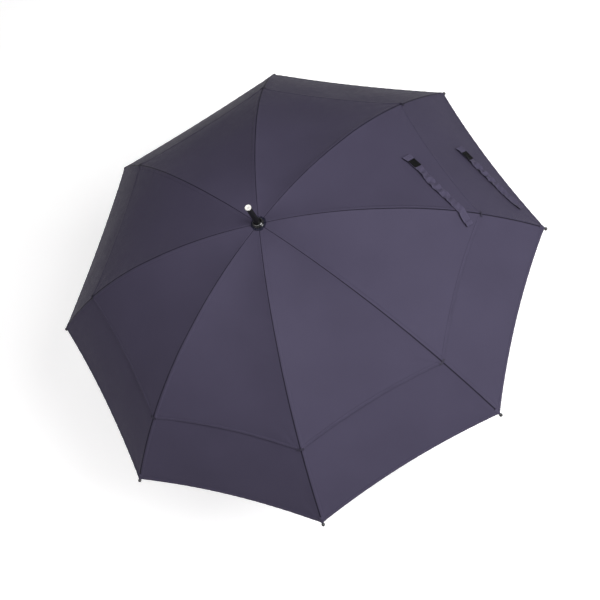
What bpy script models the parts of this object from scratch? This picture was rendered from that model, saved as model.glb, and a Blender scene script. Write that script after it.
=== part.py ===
"""Eight-rib vented golf umbrella, open, standing on the flat end of its handle.

Metres, +Z up along the shaft. The origin is the centre of the handle's end face. The ribs
swing on a wire ring under the crown, and each stretcher runs from a lug under its rib to a
second wire ring on the runner, so that the runner slides along the shaft as the ribs fold.
"""

import math

import bmesh
import bpy
from mathutils import Matrix, Vector

# Driving dimensions
RIBS = 8
FIRST_AZIMUTH = 67.5            # degrees, the rib that the others follow clockwise from
OVERALL = 1.000                 # handle end to ferrule end
RIB_LENGTH = 0.750              # arc length from the top pivot to the canopy's corner
BEND_LINEAR = 1.126             # the rib's slope in radians is BEND_LINEAR u + BEND_SQUARE u^2
BEND_SQUARE = -0.239
FERRULE_RISE = 0.0905           # ferrule end above the top pivots
PIVOT_RADIUS = 0.0150           # both wire rings
PIVOT_Z = OVERALL - FERRULE_RISE
STRETCHER = 0.340               # pivot to pivot, and top pivot to stretcher pivot
FOLD = math.radians(61.0)       # rib swing from open to closed
ROD = 0.0019                    # rib rod radius
RIB_STEPS = 16
LUG_DROP = 0.0050               # stretcher pivot below the rib's centre line
SHAFT_R = 0.0070
SHAFT_BORE = 0.0060
WIRE_R = 0.0008
EYE_HOLE = 0.00125
TAB_HALF = 0.0012               # half thickness of the flattened rib and stretcher ends
SLOT_HALF = 0.0016              # half width of the slots that they swing in
FABRIC = 0.0006
FABRIC_LIFT = 0.0030            # lower canopy above the rib's centre line
VENT_GAP = 0.0018               # extra lift of the upper canopy where the two overlap
VENT_HEM = 0.731                # end of the upper canopy along the rib
UNDERLAP = 0.520                # start of the lower canopy along the rib
HEM_DIP = 0.016                 # lower hem, in from the line between two corners
VENT_DIP = 0.013
SAG = 0.0040                    # fabric below the straight line between two ribs
HALF_GORE = math.pi / RIBS
STRAP_HALF = 0.0122
UPPER_STRAP = (
    (0.4445, 0.129), (0.4586, -0.160), (0.4634, -0.447),
    (0.4764, -0.723), (0.4888, -0.996), (0.5211, -1.194),
)
LOWER_STRAP = (
    (0.6392, 0.148), (0.6565, -0.083), (0.6714, -0.318), (0.6867, -0.549), (0.7089, -0.772),
)
HANDLE = 0.165
GRIP_R = 0.0165

COLOURS = {
    "fabric": ((0.075, 0.066, 0.100, 1.0), 0.62, 0.0),
    "black": ((0.012, 0.012, 0.013, 1.0), 0.28, 0.0),
    "satin": ((0.018, 0.018, 0.020, 1.0), 0.42, 0.0),
    "rubber": ((0.022, 0.022, 0.024, 1.0), 0.75, 0.0),
    "steel": ((0.55, 0.55, 0.56, 1.0), 0.30, 1.0),
    "silver": ((0.72, 0.72, 0.70, 1.0), 0.35, 0.6),
    "fibreglass": ((0.030, 0.030, 0.032, 1.0), 0.38, 0.0),
    "loop": ((0.010, 0.010, 0.011, 1.0), 0.95, 0.0),
}


def clear():
    for item in list(bpy.data.objects):
        bpy.data.objects.remove(item, do_unlink=True)


def material(kind, name):
    colour, rough, metal = COLOURS[kind]
    made = bpy.data.materials.new(name)
    made.use_nodes = True
    shader = made.node_tree.nodes["Principled BSDF"]
    shader.inputs["Base Color"].default_value = colour
    shader.inputs["Roughness"].default_value = rough
    shader.inputs["Metallic"].default_value = metal
    made.diffuse_color = colour
    return made


def to_mesh(bm, name):
    bmesh.ops.recalc_face_normals(bm, faces=bm.faces)
    mesh = bpy.data.meshes.new(name)
    bm.to_mesh(mesh)
    bm.free()
    return mesh


def turned(name, outline, segments=24):
    """A closed ring or solid of revolution about Z from (radius, z) points in order."""
    bm = bmesh.new()
    on_axis = [r < 1e-9 for r, _ in outline]
    rings = []
    for (r, z), axis in zip(outline, on_axis):
        if axis:
            rings.append([bm.verts.new((0.0, 0.0, z))] * segments)
            continue
        ring = []
        for k in range(segments):
            a = 2 * math.pi * k / segments
            ring.append(bm.verts.new((r * math.cos(a), r * math.sin(a), z)))
        rings.append(ring)
    count = len(outline)
    last = count if not (on_axis[0] and on_axis[-1]) else count - 1
    for i in range(last):
        lower, upper = rings[i], rings[(i + 1) % count]
        for k in range(segments):
            n = (k + 1) % segments
            corners = []
            for vert in (lower[k], lower[n], upper[n], upper[k]):
                if vert not in corners:
                    corners.append(vert)
            if len(corners) > 2:
                bm.faces.new(corners)
    return to_mesh(bm, name)


def box(name, low, high):
    bm = bmesh.new()
    bmesh.ops.create_cube(bm, size=1.0)
    low, high = Vector(low), Vector(high)
    for vert in bm.verts:
        for axis in range(3):
            vert.co[axis] = low[axis] if vert.co[axis] < 0 else high[axis]
    return to_mesh(bm, name)


def rod(name, start, end, radius, segments=12, end_radius=None):
    """A cylinder or cone from one point to another."""
    start, end = Vector(start), Vector(end)
    run = end - start
    bm = bmesh.new()
    tip = radius if end_radius is None else end_radius
    bmesh.ops.create_cone(
        bm, cap_ends=True, segments=segments, radius1=radius, radius2=tip, depth=run.length
    )
    turn = Vector((0, 0, 1)).rotation_difference(run).to_matrix().to_4x4()
    bm.transform(Matrix.Translation((start + end) / 2) @ turn)
    return to_mesh(bm, name)


def extruded(name, outline, half):
    """A plate in the XZ plane from (x, z) points, from y = -half to y = +half."""
    bm = bmesh.new()
    near = [bm.verts.new((x, -half, z)) for x, z in outline]
    far = [bm.verts.new((x, half, z)) for x, z in outline]
    bm.faces.new(near)
    bm.faces.new(list(reversed(far)))
    count = len(outline)
    for k in range(count):
        n = (k + 1) % count
        bm.faces.new((near[n], near[k], far[k], far[n]))
    return to_mesh(bm, name)


def swept(name, path, radius, segments=6):
    """A round rod along points in the XZ plane, capped at both ends."""
    bm = bmesh.new()
    rings = []
    for k, (x, z) in enumerate(path):
        before = path[max(k - 1, 0)]
        after = path[min(k + 1, len(path) - 1)]
        along = Vector((after[0] - before[0], 0.0, after[1] - before[1])).normalized()
        up = Vector((-along.z, 0.0, along.x))
        ring = []
        for j in range(segments):
            a = 2 * math.pi * (j + 0.5) / segments
            offset = up * math.cos(a) + Vector((0, 1, 0)) * math.sin(a)
            ring.append(bm.verts.new(Vector((x, 0.0, z)) + offset * radius))
        rings.append(ring)
    for lower, upper in zip(rings, rings[1:]):
        for j in range(segments):
            n = (j + 1) % segments
            bm.faces.new((lower[j], lower[n], upper[n], upper[j]))
    bm.faces.new(rings[0])
    bm.faces.new(rings[-1])
    return to_mesh(bm, name)


def torus(name, major, minor, around=32, section=6):
    outline = []
    for k in range(section):
        a = 2 * math.pi * k / section
        outline.append((major + minor * math.cos(a), minor * math.sin(a)))
    return turned(name, outline, around)


def combine(base, steps):
    """Boolean steps on a mesh, each (operation, mesh), evaluated into one new mesh."""
    host = bpy.data.objects.new("host", base)
    bpy.context.collection.objects.link(host)
    helpers = []
    for operation, mesh in steps:
        helper = bpy.data.objects.new("helper", mesh)
        helper.hide_render = True
        helper.display_type = "WIRE"
        bpy.context.collection.objects.link(helper)
        helpers.append(helper)
        cut = host.modifiers.new(operation, "BOOLEAN")
        cut.operation = operation
        cut.solver = "EXACT"
        cut.object = helper
    graph = bpy.context.evaluated_depsgraph_get()
    result = bpy.data.meshes.new_from_object(host.evaluated_get(graph))
    result.name = base.name
    for item in helpers + [host]:
        bpy.data.objects.remove(item, do_unlink=True)
    return result


def add(name, mesh, kind, origin=(0.0, 0.0, 0.0), turn=0.0, smooth=True, colour=None):
    """One named sub-part, whose mesh is drawn around its origin."""
    if not mesh.materials:
        mesh.materials.append(material(kind, colour or name))
        if smooth:
            mesh.shade_smooth()
            mesh.set_sharp_from_angle(angle=math.radians(35))
    made = bpy.data.objects.new(name, mesh)
    made.location = origin
    made.rotation_euler = (0.0, 0.0, turn)
    bpy.context.collection.objects.link(made)
    return made


def shifted(mesh, offset):
    mesh.transform(Matrix.Translation(Vector(offset)))
    return mesh


def slope(u):
    return BEND_LINEAR * u + BEND_SQUARE * u * u


def rib_point(s, lift=0.0):
    """(x, z) on the rib's centre line from the top pivot, lifted along its normal."""
    x, z, steps = PIVOT_RADIUS, 0.0, 48
    ds = s / steps
    for k in range(steps):
        a = slope((k + 0.5) * ds / RIB_LENGTH)
        x += math.cos(a) * ds
        z -= math.sin(a) * ds
    a = slope(s / RIB_LENGTH)
    return x + lift * math.sin(a), z + lift * math.cos(a)


def azimuth(index):
    return math.radians(FIRST_AZIMUTH) - index * 2 * HALF_GORE


def stretcher_pivot():
    """Arc length of the lug whose pivot lies exactly STRETCHER from the top pivot."""
    low, high = 0.2, 0.6
    for _ in range(50):
        mid = (low + high) / 2
        x, z = rib_point(mid, -LUG_DROP)
        if math.hypot(x - PIVOT_RADIUS, z) < STRETCHER:
            low = mid
        else:
            high = mid
    return low


def ease(t):
    t = min(max(t, 0.0), 1.0)
    return t * t * (3 - 2 * t)


def gore_point(s, v, lift):
    """Point of a gore whose middle lies along +X; v runs from -1 to 1 between its ribs."""
    x, z = rib_point(s, lift)
    half = x * math.sin(HALF_GORE)
    side = half - 0.0005
    droop = SAG * (1 - v * v) * min(s / 0.30, 1.0)
    a = slope(s / RIB_LENGTH)
    return Vector(
        (x * math.cos(HALF_GORE) - droop * math.sin(a), side * v, z - droop * math.cos(a))
    )


def upper_lift(s):
    return FABRIC_LIFT + VENT_GAP * ease((s / RIB_LENGTH - 0.38) / 0.10)


def lower_lift(s):
    return FABRIC_LIFT


def panel(name, start, end, dip, lift, rows, columns=4):
    """A gore of fabric between two arc lengths, as a closed sheet."""
    bm = bmesh.new()
    grids = []
    for side in (-0.5, 0.5):
        grid = []
        for j in range(rows + 1):
            line = []
            for i in range(columns + 1):
                v = -1 + 2 * i / columns
                stop = end - dip * (1 - v * v)
                s = start + (stop - start) * j / rows
                line.append(bm.verts.new(gore_point(s, v, lift(s) + side * FABRIC)))
            grid.append(line)
        grids.append(grid)
    for grid in grids:
        for j in range(rows):
            for i in range(columns):
                corners = (grid[j][i], grid[j][i + 1], grid[j + 1][i + 1], grid[j + 1][i])
                bm.faces.new(corners)
    under, over = grids
    edge = [(0, i) for i in range(columns)] + [(j, columns) for j in range(rows)]
    edge += [(rows, i) for i in range(columns, 0, -1)] + [(j, 0) for j in range(rows, 0, -1)]
    for k, (j, i) in enumerate(edge):
        b, a = edge[(k + 1) % len(edge)]
        bm.faces.new((under[j][i], under[b][a], over[b][a], over[j][i]))
    bmesh.ops.triangulate(bm, faces=bm.faces, quad_method="FIXED")
    return to_mesh(bm, name)


def canopy_surface(s, v, lift):
    """The outer canopy past either edge of the gore at azimuth zero; v may pass -1 or 1."""
    turns = round(v / 2)
    point = gore_point(s, v - 2 * turns, lift)
    point.rotate(Matrix.Rotation(2 * HALF_GORE * turns, 4, "Z"))
    return point


def strap_spine(stations):
    """Smooth (s, v, half width) along a strap."""
    last = len(stations) - 1

    def spine(t):
        k = min(int(t * last), last - 1)
        f = t * last - k
        around = [stations[min(max(k + i, 0), last)] for i in (-1, 0, 1, 2)]
        found = []
        for a, b, c, d in zip(*around):
            bend = (2 * a - 5 * b + 4 * c - d) * f * f + (3 * b - a - 3 * c + d) * f ** 3
            found.append(b + 0.5 * ((c - a) * f + bend))
        return found[0], found[1], STRAP_HALF

    return spine


def ribbon(name, spine, lift, thick, steps):
    """A closed band over the canopy; spine(t) gives (s, v, half width along the arc)."""
    bm = bmesh.new()
    rings = []
    for k in range(steps + 1):
        s, v, half = spine(k / steps)
        here = canopy_surface(s, v, lift)
        s2, v2, _ = spine(min(k / steps + 0.02, 1.0))
        s1, v1, _ = spine(max(k / steps - 0.02, 0.0))
        along = (canopy_surface(s2, v2, lift) - canopy_surface(s1, v1, lift)).normalized()
        up = canopy_surface(s, v, lift + 0.002) - canopy_surface(s, v, lift - 0.002)
        across = along.cross(up.normalized()).normalized()
        up = across.cross(along).normalized()
        ring = []
        for side, height in ((-1, -1), (1, -1), (1, 1), (-1, 1)):
            ring.append(bm.verts.new(here + across * half * side + up * height * thick / 2))
        rings.append(ring)
    for a, b in zip(rings, rings[1:]):
        for k in range(4):
            n = (k + 1) % 4
            bm.faces.new((a[k], a[n], b[n], b[k]))
    bm.faces.new(rings[0])
    bm.faces.new(rings[-1])
    bmesh.ops.triangulate(bm, faces=bm.faces, quad_method="FIXED")
    return to_mesh(bm, name)


# ---- Geometry of the linkage -------------------------------------------------------------
LUG_S = stretcher_pivot()
JOINT = rib_point(LUG_S, -LUG_DROP)
OPEN_ANGLE = math.atan2(JOINT[0] - PIVOT_RADIUS, -JOINT[1])
RUNNER_Z = PIVOT_Z - 2 * STRETCHER * math.cos(OPEN_ANGLE)
CLOSED_RUNNER_Z = PIVOT_Z - 2 * STRETCHER * math.cos(OPEN_ANGLE - FOLD)
RUNNER_TOP = 0.0075             # runner's crown above its pivots
RUNNER_LENGTH = 0.062           # runner's foot below its pivots
WINDOW = (-0.052, -0.026)       # lower catch's window in the runner
CATCH = 0.024                   # length of a catch outside the shaft
CATCH_OUT = 0.0030              # how far a catch stands out of the shaft
UPPER_CATCH_Z = RUNNER_Z - RUNNER_LENGTH - CATCH - 0.0015
LOWER_CATCH_Z = CLOSED_RUNNER_Z + WINDOW[0] + 0.001


def rib_mesh():
    """A rod bent to the canopy's curve, with a flattened eye and a lug under it."""
    eye = []
    for k in range(7):
        a = math.pi / 2 + math.pi * k / 6
        eye.append((ROD * 1.25 * math.cos(a), ROD * math.sin(a)))
    eye += [(0.011, -ROD), (0.011, ROD)]
    path = []
    for k in range(RIB_STEPS + 1):
        s = 0.0085 + (RIB_LENGTH + 0.006 - 0.0085) * k / RIB_STEPS
        x, z = rib_point(s)
        path.append((x - PIVOT_RADIUS, z))
    body = swept("rib", path, ROD)
    lug = []
    a = slope(LUG_S / RIB_LENGTH)
    centre = Vector((JOINT[0] - PIVOT_RADIUS, 0.0, JOINT[1]))
    for k in range(7):
        b = -a + math.pi + math.pi * k / 6
        lug.append((centre.x + 0.0026 * math.cos(b), centre.z + 0.0026 * math.sin(b)))
    for along in (0.0050, -0.0050):
        x = centre.x + along * math.cos(a) + (LUG_DROP + 0.0004) * math.sin(a)
        z = centre.z - along * math.sin(a) + (LUG_DROP + 0.0004) * math.cos(a)
        lug.append((x, z))
    hole = rod("hole", (centre.x, -0.01, centre.z), (centre.x, 0.01, centre.z), 0.0015, 8)
    eye_hole = rod("eye_hole", (0, -0.01, 0), (0, 0.01, 0), EYE_HOLE, 8)
    steps = [
        ("UNION", extruded("eye", eye, TAB_HALF)),
        ("UNION", extruded("lug", lug, 0.0010)),
        ("DIFFERENCE", hole),
        ("DIFFERENCE", eye_hole),
    ]
    return combine(body, steps)


def stretcher_mesh():
    """A bar from its fork at the rib to its eye on the runner's ring."""
    run = Vector((PIVOT_RADIUS - JOINT[0], 0.0, RUNNER_Z - PIVOT_Z - JOINT[1]))
    length = run.length
    bar = box("stretcher", (0.010, -0.0020, -0.0022), (length - 0.009, 0.0020, 0.0022))
    ends = []
    for k in range(7):
        a = math.pi / 2 + math.pi * k / 6
        ends.append((0.0024 * math.cos(a), 0.0024 * math.sin(a)))
    fork = extruded("fork", ends + [(0.0150, -0.0024), (0.0150, 0.0024)], 0.0029)
    slot = box("slot", (-0.0060, -0.0015, -0.0060), (0.0072, 0.0015, 0.0060))
    rivet = rod("rivet", (0, -0.0034, 0), (0, 0.0034, 0), 0.0010, 8)
    eye = []
    for k in range(7):
        a = -math.pi / 2 + math.pi * k / 6
        eye.append((length + 0.0024 * math.cos(a), 0.0020 * math.sin(a)))
    eye += [(length - 0.012, 0.0020), (length - 0.012, -0.0020)]
    hole = rod("hole", (length, -0.01, 0), (length, 0.01, 0), EYE_HOLE, 8)
    groove = box("groove", (0.0200, -0.0012, -0.0060), (length - 0.0200, 0.0012, -0.0010))
    steps = [
        ("UNION", fork),
        ("DIFFERENCE", slot),
        ("UNION", rivet),
        ("UNION", extruded("eye", eye, TAB_HALF)),
        ("DIFFERENCE", hole),
        ("DIFFERENCE", groove),
    ]
    mesh = combine(bar, steps)
    tilt = math.atan2(run.z, run.x)
    mesh.transform(Matrix.Rotation(-tilt, 4, "Y"))
    return mesh


def tip_mesh():
    """A ball end with a short neck, bored to slip over the rib."""
    start, ball, radius = 0.0009, 0.0078, 0.0047
    outline = [(0.0023, start), (0.0031, start), (0.0031, ball - 0.0036)]
    for k in range(1, 7):
        a = -math.pi / 2 + math.radians(40) + (math.pi - math.radians(40)) * k / 6
        outline.append((max(radius * math.cos(a), 0.0), ball + radius * math.sin(a)))
    outline += [(0.0, start + 0.0058), (0.0023, start + 0.0058)]
    mesh = turned("rib_tip", outline, 10)
    a = slope(1.0)
    x, z = rib_point(RIB_LENGTH)
    mesh.transform(Matrix.Rotation(math.pi / 2 + a, 4, "Y"))
    return shifted(mesh, (x - PIVOT_RADIUS, 0.0, z))


def slotted(name, outline, groove, low, high):
    """A turned hub with a ring groove and one radial slot for each rib or stretcher."""
    body = turned(name, outline, 32)
    steps = [("DIFFERENCE", turned("ring_groove", groove, 32))]
    for k in range(RIBS):
        slot = box("slot", (0.0118, -SLOT_HALF, low), (0.0250, SLOT_HALF, high))
        slot.transform(Matrix.Rotation(azimuth(k), 4, "Z"))
        steps.append(("DIFFERENCE", slot))
    return combine(body, steps)


def annulus(inner, outer, low, high):
    return [(inner, low), (outer, low), (outer, high), (inner, high)]


def catch_mesh():
    """A spring wedge: a ramp outside the shaft on a leaf inside it, in its own XZ plane."""
    outline = [
        (SHAFT_R + CATCH_OUT, CATCH),
        (SHAFT_R + CATCH_OUT, CATCH - 0.004),
        (SHAFT_BORE - 0.0010, 0.0),
        (SHAFT_BORE - 0.0022, 0.0),
        (SHAFT_BORE - 0.0022, CATCH),
    ]
    return extruded("catch", outline, 0.0012)


def build_shaft():
    length = PIVOT_Z + 0.004
    tube = turned("shaft", annulus(SHAFT_BORE, SHAFT_R, 0.020, length))
    steps = []
    for z in (UPPER_CATCH_Z, LOWER_CATCH_Z):
        slot = box("slot", (0.0030, -0.0016, z + 0.0006), (0.0090, 0.0016, z + CATCH + 0.0006))
        slot.transform(Matrix.Rotation(azimuth(0) + HALF_GORE, 4, "Z"))
        steps.append(("DIFFERENCE", slot))
    stop = RUNNER_Z + RUNNER_TOP + 0.0020
    steps.append(("DIFFERENCE", rod("pin_hole", (0, -0.02, stop), (0, 0.02, stop), 0.0016, 12)))
    add("shaft", combine(tube, steps), "satin")
    pin = rod("stop_pin", (0, -0.0095, stop), (0, 0.0095, stop), 0.0012, 12)
    add("stop_pin", pin, "steel")
    shared = catch_mesh()
    for name, z in (("upper_catch", UPPER_CATCH_Z), ("lower_catch", LOWER_CATCH_Z)):
        add(name, shared, "steel", (0, 0, z), azimuth(0) + HALF_GORE, colour="catch")


def build_handle():
    cap = [(0.0, 0.0), (0.0150, 0.0), (0.0162, 0.0012), (0.0165, 0.0070), (0.0165, 0.0100)]
    cap += [(0.0066, 0.0100), (0.0060, 0.0110), (0.0, 0.0110)]
    add("handle_end_cap", turned("handle_end_cap", cap), "black")
    low, high = 0.0104, HANDLE
    grip = [(0.0074, low), (GRIP_R, low)]
    for k in range(1, 12):
        t = k / 12
        radius = GRIP_R - 0.0022 * math.sin(math.pi * t) ** 2 - 0.0012 * t
        grip.append((radius, low + (high - low) * t))
    grip += [(GRIP_R - 0.0012, high), (0.0074, high)]
    add("handle_grip", turned("handle_grip", grip), "rubber")
    z = HANDLE + 0.0004
    collar = [(0.0074, z), (0.0152, z), (0.0152, z + 0.004), (0.0120, z + 0.010)]
    collar += [(0.0092, z + 0.014), (0.0074, z + 0.014)]
    add("handle_collar", turned("handle_collar", collar), "silver")


def build_top():
    z = PIVOT_Z
    hub = [(0.0074, z - 0.0110), (0.0100, z - 0.0110), (0.0122, z - 0.0075)]
    hub += [(0.0180, z - 0.0065), (0.0180, z + 0.0022), (0.0074, z + 0.0022)]
    groove = annulus(PIVOT_RADIUS - 0.0012, PIVOT_RADIUS + 0.0012, z - 0.0120, z + 0.0012)
    mesh = slotted("top_notch", hub, groove, z - 0.0130, z + 0.0050)
    add("top_notch", mesh, "black")
    wire = shifted(torus("top_notch_wire", PIVOT_RADIUS, WIRE_R), (0, 0, z))
    add("top_notch_wire", wire, "steel")
    disc = []
    for k in range(48):
        a = 2 * math.pi * k / 48
        r = 0.0178 if k % 2 else 0.0166
        disc.append((r * math.cos(a), r * math.sin(a)))
    bm = bmesh.new()
    under = [bm.verts.new((x, y, z + 0.0042)) for x, y in disc]
    over = [bm.verts.new((x * 0.97, y * 0.97, z + 0.0058)) for x, y in disc]
    bm.faces.new(under)
    bm.faces.new(over)
    for k in range(48):
        n = (k + 1) % 48
        bm.faces.new((under[k], under[n], over[n], over[k]))
    hole = rod("hole", (0, 0, z), (0, 0, z + 0.02), 0.0078, 32)
    rosette = combine(to_mesh(bm, "rosette"), [("DIFFERENCE", hole)])
    add("rosette", rosette, "fabric", smooth=False)
    low = z + 0.0062
    dome = [(0.0076, low), (0.0142, low)]
    for k in range(1, 8):
        a = math.radians(90) * k / 8
        dome.append((0.0092 + 0.0052 * math.cos(a), low + 0.0014 + 0.0062 * math.sin(a)))
    dome += [(0.0088, low + 0.0076), (0.0076, low + 0.0072)]
    add("crown_cap", turned("crown_cap", dome), "black")
    foot, top = z + 0.0044, OVERALL - 0.0046
    body = [(0.0, foot - 0.026), (0.0054, foot - 0.026), (0.0055, foot)]
    body += [(0.0072, foot), (0.0070, foot + 0.012), (0.0067, top), (0.0, top)]
    add("ferrule", turned("ferrule", body), "satin")
    low = top + 0.0003
    end = [(0.0, low), (0.0076, low), (0.0084, low + 0.0008), (0.0084, OVERALL - 0.0012)]
    end += [(0.0076, OVERALL - 0.0003), (0.0052, OVERALL), (0.0026, OVERALL - 0.0007)]
    end += [(0.0, OVERALL - 0.0010)]
    add("ferrule_end_cap", turned("ferrule_end_cap", end), "silver")


def build_runner():
    z = RUNNER_Z
    origin = (PIVOT_RADIUS * math.cos(azimuth(0)), PIVOT_RADIUS * math.sin(azimuth(0)), z)
    back = [-c for c in origin]
    foot = z - RUNNER_LENGTH
    hub = [(0.0074, foot + 0.0060), (0.0100, foot + 0.0060), (0.0100, z - 0.0080)]
    hub += [(0.0125, z - 0.0058), (0.0180, z - 0.0050), (0.0180, z + 0.0022)]
    hub += [(0.0180, z + RUNNER_TOP), (0.0074, z + RUNNER_TOP)]
    groove = annulus(PIVOT_RADIUS - 0.0012, PIVOT_RADIUS + 0.0012, z - 0.0012, z + 0.0120)
    mesh = slotted("runner", hub, groove, z - 0.0030, z + 0.0120)
    window = box("window", (0.004, -0.0020, z + WINDOW[0]), (0.014, 0.0020, z + WINDOW[1]))
    window.transform(Matrix.Rotation(azimuth(0) + HALF_GORE, 4, "Z"))
    mesh = combine(mesh, [("DIFFERENCE", window)])
    add("runner", shifted(mesh, back), "black", origin)
    wire = shifted(torus("runner_wire", PIVOT_RADIUS, WIRE_R), (0, 0, z))
    add("runner_wire", shifted(wire, back), "steel", origin)
    collar = [(0.0076, foot), (0.0132, foot), (0.0140, foot + 0.0012), (0.0132, foot + 0.0030)]
    collar += [(0.0118, foot + 0.0056), (0.0076, foot + 0.0056)]
    made = shifted(turned("runner_collar", collar), back)
    add("runner_collar", made, "satin", origin)


def build_ribs():
    rib, stretcher, tip = rib_mesh(), stretcher_mesh(), tip_mesh()
    for k in range(RIBS):
        a = azimuth(k)
        top = (PIVOT_RADIUS * math.cos(a), PIVOT_RADIUS * math.sin(a), PIVOT_Z)
        pin = (JOINT[0] * math.cos(a), JOINT[0] * math.sin(a), PIVOT_Z + JOINT[1])
        add(f"rib_{k + 1}", rib, "fibreglass", top, a, colour="rib")
        add(f"rib_tip_{k + 1}", tip, "black", top, a, colour="rib_tip")
        add(f"stretcher_{k + 1}", stretcher, "steel", pin, a, colour="stretcher")


def build_canopy():
    end, vent, under = RIB_LENGTH, VENT_HEM * RIB_LENGTH, UNDERLAP * RIB_LENGTH
    upper = panel("upper_panel", 0.0004, vent, VENT_DIP, upper_lift, 9)
    lower = panel("lower_panel", under, end, HEM_DIP, lower_lift, 7)
    hinge = Vector((PIVOT_RADIUS, 0.0, FABRIC_LIFT))
    for mesh in (upper, lower):
        shifted(mesh, -hinge)
    for k in range(RIBS):
        a = azimuth(k) - HALF_GORE
        origin = (hinge.x * math.cos(a), hinge.x * math.sin(a), PIVOT_Z + hinge.z)
        add(f"upper_panel_{k + 1}", upper, "fabric", origin, a, colour="upper_panel")
        add(f"lower_panel_{k + 1}", lower, "fabric", origin, a, colour="lower_panel")

    origin = (hinge.x, 0.0, PIVOT_Z + hinge.z)
    for name, stations, lift in (
        ("upper", UPPER_STRAP, FABRIC_LIFT + VENT_GAP + 0.0036),
        ("lower", LOWER_STRAP, FABRIC_LIFT + 0.0038),
    ):
        spine = strap_spine(stations)
        strap = ribbon(f"tie_strap_{name}", spine, lift, 0.0010, 18)
        add(f"tie_strap_{name}", shifted(strap, -hinge), "fabric", origin)

        def patch_spine(t, spine=spine):
            s, v, half = spine(0.09 + 0.10 * t)
            return s, v, half - 0.0010

        patch = ribbon(f"strap_patch_{name}", patch_spine, lift + 0.0015, 0.0008, 3)
        add(f"strap_patch_{name}", shifted(patch, -hinge), "loop", origin)


clear()
build_shaft()
build_handle()
build_top()
build_runner()
build_ribs()
build_canopy()
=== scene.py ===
"""Looks of an eight-rib vented golf umbrella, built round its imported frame.

Metres, +Z up along the shaft. Gore k lies between rib k and rib k + 1. On a gore, s is the arc
length out from the top pivots and v runs from 1 at rib k to -1 at rib k + 1.
"""

import math

import bpy
import numpy as np
from mathutils import Matrix, Vector


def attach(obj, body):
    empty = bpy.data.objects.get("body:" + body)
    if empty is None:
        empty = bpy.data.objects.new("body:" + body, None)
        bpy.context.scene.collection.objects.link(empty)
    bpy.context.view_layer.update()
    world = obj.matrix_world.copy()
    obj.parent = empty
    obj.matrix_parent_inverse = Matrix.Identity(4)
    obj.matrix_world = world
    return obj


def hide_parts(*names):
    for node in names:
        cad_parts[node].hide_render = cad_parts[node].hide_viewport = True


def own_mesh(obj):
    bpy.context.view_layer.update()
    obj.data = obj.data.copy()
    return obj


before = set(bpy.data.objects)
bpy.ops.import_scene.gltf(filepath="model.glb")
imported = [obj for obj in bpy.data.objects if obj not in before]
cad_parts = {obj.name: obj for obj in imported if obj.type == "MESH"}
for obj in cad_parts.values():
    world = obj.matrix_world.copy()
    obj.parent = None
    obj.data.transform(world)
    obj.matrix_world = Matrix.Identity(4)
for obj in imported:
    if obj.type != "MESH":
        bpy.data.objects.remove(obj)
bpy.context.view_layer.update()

# The frame's dimensions, as in the CAD
RIBS = 8
FIRST = math.radians(67.5)
STEP = 2 * math.pi / RIBS
HALF = math.pi / RIBS
LENGTH = 0.750
PIVOT_R = 0.0150
PIVOT_Z = 0.9095
OVERALL = 1.000
ROD = 0.0019
VENT = 0.731 * LENGTH
UNDERLAP = 0.520 * LENGTH
VENT_DIP = 0.013
HEM_DIP = 0.016
SAG = 0.0040
EASE_SAG = 0.0060               # more sag where the cloth is loosest, half way out
LIFT = 0.0030
VENT_GAP = 0.0018
HANDLE = 0.165
FOLD = math.radians(61.0)
GORE_FOLD = FOLD * 0.943
LUG_S = 0.344192
STRAP_HALF = 0.0122
UPPER_STRAP = (
    (0.4445, 0.129), (0.4586, -0.160), (0.4634, -0.447),
    (0.4764, -0.723), (0.4888, -0.996), (0.5211, -1.194),
)
LOWER_STRAP = (
    (0.6392, 0.148), (0.6565, -0.083), (0.6714, -0.318), (0.6867, -0.549), (0.7089, -0.772),
)
CLOTH = 0.0004                  # thickness of the canopy's cloth
CREASE = math.radians(38)       # an edge sharper than this stays sharp


# ---- Rib curve and canopy surface ------------------------
def slope(s):
    u = np.asarray(s, float) / LENGTH
    return 1.126 * u - 0.239 * u * u


FINE = np.linspace(0.0, 0.80, 3201)
MIDDLE = (FINE[:-1] + FINE[1:]) / 2
FINE_X = PIVOT_R + np.concatenate([[0], np.cumsum(np.cos(slope(MIDDLE)) * np.diff(FINE))])
FINE_Z = -np.concatenate([[0], np.cumsum(np.sin(slope(MIDDLE)) * np.diff(FINE))])


def rib_line(s, lift=0.0):
    """Radius, height over the top pivots and slope on the rib's curve."""
    s = np.asarray(s, float)
    a = slope(s)
    x = np.interp(s, FINE, FINE_X) + np.minimum(s, 0.0)
    return x + lift * np.sin(a), np.interp(s, FINE, FINE_Z) + lift * np.cos(a), a


def ease(t):
    t = np.clip(t, 0.0, 1.0)
    return t * t * (3 - 2 * t)


def rib_azimuth(k):
    return FIRST - (k - 1) * STEP


def gore_azimuth(k):
    return rib_azimuth(k) - HALF


def half_width(s):
    return rib_line(s)[0] * math.sin(HALF)


def base_lift(s, upper):
    return LIFT + (VENT_GAP * ease((np.asarray(s) / LENGTH - 0.38) / 0.10) if upper else 0.0)


def gore_points(s, v, lift):
    """Points of the gore whose middle lies along +X."""
    s, v = np.broadcast_arrays(np.asarray(s, float), np.asarray(v, float))
    x, z, a = rib_line(s, lift)
    droop = SAG * (1 - v * v) * np.minimum(s / 0.30, 1.0)
    across = x * math.sin(HALF) * v
    down = z - droop * np.cos(a) + PIVOT_Z
    return np.stack([x * math.cos(HALF) - droop * np.sin(a), across, down], -1)


def hem_arc(v, upper):
    """Arc length of a gore's outer edge at v."""
    end, dip = (VENT, VENT_DIP) if upper else (LENGTH, HEM_DIP)
    return end - dip * (1 - v * v)


def gore_phase(k, upper):
    return 1.7 * k + (0.6 if upper else 2.9)


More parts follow.
